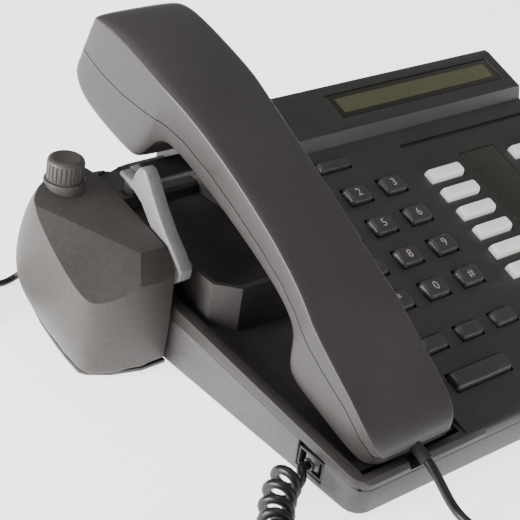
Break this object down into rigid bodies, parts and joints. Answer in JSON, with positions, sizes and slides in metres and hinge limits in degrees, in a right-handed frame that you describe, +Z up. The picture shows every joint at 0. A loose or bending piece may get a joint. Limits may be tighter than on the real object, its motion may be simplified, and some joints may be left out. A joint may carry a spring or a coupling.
{
  "type": "desk telephone with handset lifter",
  "caption": "Office desk telephone with a sloping key panel and a remote handset lifter at its left side, whose raised arm holds the handset's ear end off the cradle.",
  "frame": {"origin": "on the desk, at the centre of the box round the telephone and the lifter without their free cords", "axes": "+X to the telephone's right, +Y to its back, +Z up"},
  "size_m": [0.3077, 0.2768, 0.1211],
  "materials": {
    "shell": "fine matte grain",
    "shell_under": "fine matte grain",
    "handset_shell": "smooth satin",
    "key_dark": "satin",
    "key_white": "clear cap over a white label",
    "display_window": "clear window over a dark liquid-crystal display",
    "status_window": "dark green window",
    "circuit_board": "green solder mask",
    "rubber": "matte",
    "steel": "satin",
    "inner_black": "satin",
    "lifter_shell": "fine matte grain",
    "arm_grey": "smooth satin",
    "cord_black": "smooth cord jacket",
    "plug_clear": "clear"
  },
  "bodies": {
    "phone_base": {"base_tray": "shell_under", "base_cover": "shell", "front_foot": "rubber", "rear_foot": "rubber", "display_window": "display_window", "status_window": "status_window", "circuit_board": "circuit_board", "key_mat": "rubber", "ringer_speaker": "inner_black", "hook_switch": "inner_black", "handset_jack": "inner_black", "line_jack": "inner_black", "base_plug": "plug_clear", "lifter_housing": "lifter_shell", "lifter_base_plate": "lifter_shell", "lifter_motor": "steel", "pivot_pin": "steel", "handset_cord_coil": "cord_black", "handset_cord_tail": "cord_black", "lifter_lead": "cord_black", "lifter_lead_coil": "cord_black", "lifter_lead_plug": "inner_black"},
    "handset": {"handset_back": "handset_shell", "handset_front": "handset_shell", "receiver_capsule": "steel", "microphone_capsule": "steel", "handset_weight": "inner_black"},
    "lift_arm": {"lifter_arm": "arm_grey", "lift_pad": "rubber"},
    "height_dial": {"lift_dial": "lifter_shell"},
    "hook_bar": {"hook_plunger": "key_dark"},
    "dial_key_1_cap": {"dial_key_1": "key_dark"},
    "dial_key_2_cap": {"dial_key_2": "key_dark"},
    "dial_key_3_cap": {"dial_key_3": "key_dark"},
    "dial_key_4_cap": {"dial_key_4": "key_dark"},
    "dial_key_5_cap": {"dial_key_5": "key_dark"},
    "dial_key_6_cap": {"dial_key_6": "key_dark"},
    "dial_key_7_cap": {"dial_key_7": "key_dark"},
    "dial_key_8_cap": {"dial_key_8": "key_dark"},
    "dial_key_9_cap": {"dial_key_9": "key_dark"},
    "dial_key_star_cap": {"dial_key_star": "key_dark"},
    "dial_key_0_cap": {"dial_key_0": "key_dark"},
    "dial_key_hash_cap": {"dial_key_hash": "key_dark"},
    "line_key_01_cap": {"line_key_01": "key_white"},
    "line_key_02_cap": {"line_key_02": "key_white"},
    "line_key_03_cap": {"line_key_03": "key_white"},
    "line_key_04_cap": {"line_key_04": "key_white"},
    "line_key_05_cap": {"line_key_05": "key_white"},
    "line_key_06_cap": {"line_key_06": "key_white"},
    "line_key_07_cap": {"line_key_07": "key_white"},
    "line_key_08_cap": {"line_key_08": "key_white"},
    "line_key_09_cap": {"line_key_09": "key_white"},
    "line_key_10_cap": {"line_key_10": "key_white"},
    "line_key_11_cap": {"line_key_11": "key_white"},
    "line_key_12_cap": {"line_key_12": "key_white"},
    "hold_key_cap": {"hold_key": "key_dark"},
    "transfer_key_cap": {"transfer_key": "key_dark"},
    "speaker_key_cap": {"speaker_key": "key_dark"},
    "volume_key_cap": {"volume_key": "key_dark"},
    "message_key_cap": {"message_key": "key_dark"}
  },
  "joints": [
    {"name": "arm_lift", "type": "hinge", "parent": "phone_base", "child": "lift_arm", "pos_m": [-0.0905, 0.016, 0.042], "axis": [1, 0, 0], "range_deg": [-36, 0]},
    {"name": "handset_tilt", "type": "hinge", "parent": "phone_base", "child": "handset", "pos_m": [-0.0631, -0.092, 0.016], "axis": [1, 0, 0], "range_deg": [-10.7, 0]},
    {"name": "hook_travel", "type": "slide", "parent": "phone_base", "child": "hook_bar", "axis": [0, 0, 1], "range_m": [-0.0035, 0]},
    {"name": "height_dial_turn", "type": "hinge", "parent": "phone_base", "child": "height_dial", "pos_m": [-0.1139, 0.066, 0.0668], "axis": [0, 0, 1], "range_deg": [-150, 150]},
    {"name": "dial_key_1_press", "type": "slide", "parent": "phone_base", "child": "dial_key_1_cap", "axis": [0, -0.3305, 0.9438], "range_m": [-0.0015, 0], "stiffness_N_per_m": 300},
    {"name": "dial_key_2_press", "type": "slide", "parent": "phone_base", "child": "dial_key_2_cap", "axis": [0, -0.3305, 0.9438], "range_m": [-0.0015, 0], "stiffness_N_per_m": 300},
    {"name": "dial_key_3_press", "type": "slide", "parent": "phone_base", "child": "dial_key_3_cap", "axis": [0, -0.3305, 0.9438], "range_m": [-0.0015, 0], "stiffness_N_per_m": 300},
    {"name": "dial_key_4_press", "type": "slide", "parent": "phone_base", "child": "dial_key_4_cap", "axis": [0, -0.3305, 0.9438], "range_m": [-0.0015, 0], "stiffness_N_per_m": 300},
    {"name": "dial_key_5_press", "type": "slide", "parent": "phone_base", "child": "dial_key_5_cap", "axis": [0, -0.3305, 0.9438], "range_m": [-0.0015, 0], "stiffness_N_per_m": 300},
    {"name": "dial_key_6_press", "type": "slide", "parent": "phone_base", "child": "dial_key_6_cap", "axis": [0, -0.3305, 0.9438], "range_m": [-0.0015, 0], "stiffness_N_per_m": 300},
    {"name": "dial_key_7_press", "type": "slide", "parent": "phone_base", "child": "dial_key_7_cap", "axis": [0, -0.3305, 0.9438], "range_m": [-0.0015, 0], "stiffness_N_per_m": 300},
    {"name": "dial_key_8_press", "type": "slide", "parent": "phone_base", "child": "dial_key_8_cap", "axis": [0, -0.3305, 0.9438], "range_m": [-0.0015, 0], "stiffness_N_per_m": 300},
    {"name": "dial_key_9_press", "type": "slide", "parent": "phone_base", "child": "dial_key_9_cap", "axis": [0, -0.3305, 0.9438], "range_m": [-0.0015, 0], "stiffness_N_per_m": 300},
    {"name": "dial_key_star_press", "type": "slide", "parent": "phone_base", "child": "dial_key_star_cap", "axis": [0, -0.3305, 0.9438], "range_m": [-0.0015, 0], "stiffness_N_per_m": 300},
    {"name": "dial_key_0_press", "type": "slide", "parent": "phone_base", "child": "dial_key_0_cap", "axis": [0, -0.3305, 0.9438], "range_m": [-0.0015, 0], "stiffness_N_per_m": 300},
    {"name": "dial_key_hash_press", "type": "slide", "parent": "phone_base", "child": "dial_key_hash_cap", "axis": [0, -0.3305, 0.9438], "range_m": [-0.0015, 0], "stiffness_N_per_m": 300},
    {"name": "line_key_01_press", "type": "slide", "parent": "phone_base", "child": "line_key_01_cap", "axis": [0, -0.3305, 0.9438], "range_m": [-0.0015, 0], "stiffness_N_per_m": 300},
    {"name": "line_key_02_press", "type": "slide", "parent": "phone_base", "child": "line_key_02_cap", "axis": [0, -0.3305, 0.9438], "range_m": [-0.0015, 0], "stiffness_N_per_m": 300},
    {"name": "line_key_03_press", "type": "slide", "parent": "phone_base", "child": "line_key_03_cap", "axis": [0, -0.3305, 0.9438], "range_m": [-0.0015, 0], "stiffness_N_per_m": 300},
    {"name": "line_key_04_press", "type": "slide", "parent": "phone_base", "child": "line_key_04_cap", "axis": [0, -0.3305, 0.9438], "range_m": [-0.0015, 0], "stiffness_N_per_m": 300},
    {"name": "line_key_05_press", "type": "slide", "parent": "phone_base", "child": "line_key_05_cap", "axis": [0, -0.3305, 0.9438], "range_m": [-0.0015, 0], "stiffness_N_per_m": 300},
    {"name": "line_key_06_press", "type": "slide", "parent": "phone_base", "child": "line_key_06_cap", "axis": [0, -0.3305, 0.9438], "range_m": [-0.0015, 0], "stiffness_N_per_m": 300},
    {"name": "line_key_07_press", "type": "slide", "parent": "phone_base", "child": "line_key_07_cap", "axis": [0, -0.3305, 0.9438], "range_m": [-0.0015, 0], "stiffness_N_per_m": 300},
    {"name": "line_key_08_press", "type": "slide", "parent": "phone_base", "child": "line_key_08_cap", "axis": [0, -0.3305, 0.9438], "range_m": [-0.0015, 0], "stiffness_N_per_m": 300},
    {"name": "line_key_09_press", "type": "slide", "parent": "phone_base", "child": "line_key_09_cap", "axis": [0, -0.3305, 0.9438], "range_m": [-0.0015, 0], "stiffness_N_per_m": 300},
    {"name": "line_key_10_press", "type": "slide", "parent": "phone_base", "child": "line_key_10_cap", "axis": [0, -0.3305, 0.9438], "range_m": [-0.0015, 0], "stiffness_N_per_m": 300},
    {"name": "line_key_11_press", "type": "slide", "parent": "phone_base", "child": "line_key_11_cap", "axis": [0, -0.3305, 0.9438], "range_m": [-0.0015, 0], "stiffness_N_per_m": 300},
    {"name": "line_key_12_press", "type": "slide", "parent": "phone_base", "child": "line_key_12_cap", "axis": [0, -0.3305, 0.9438], "range_m": [-0.0015, 0], "stiffness_N_per_m": 300},
    {"name": "hold_key_press", "type": "slide", "parent": "phone_base", "child": "hold_key_cap", "axis": [0, -0.3305, 0.9438], "range_m": [-0.0015, 0], "stiffness_N_per_m": 300},
    {"name": "transfer_key_press", "type": "slide", "parent": "phone_base", "child": "transfer_key_cap", "axis": [0, -0.3305, 0.9438], "range_m": [-0.0015, 0], "stiffness_N_per_m": 300},
    {"name": "speaker_key_press", "type": "slide", "parent": "phone_base", "child": "speaker_key_cap", "axis": [0, -0.3305, 0.9438], "range_m": [-0.0015, 0], "stiffness_N_per_m": 300},
    {"name": "volume_key_press", "type": "slide", "parent": "phone_base", "child": "volume_key_cap", "axis": [0, -0.3305, 0.9438], "range_m": [-0.0015, 0], "stiffness_N_per_m": 300},
    {"name": "message_key_press", "type": "slide", "parent": "phone_base", "child": "message_key_cap", "axis": [0, -0.3305, 0.9438], "range_m": [-0.0015, 0], "stiffness_N_per_m": 300}
  ],
  "couplings": [
    {"joint": "handset_tilt", "follows": "arm_lift", "ratio": 0.297},
    {"joint": "hook_travel", "follows": "arm_lift", "m_per_rad": 0.0054}
  ]
}
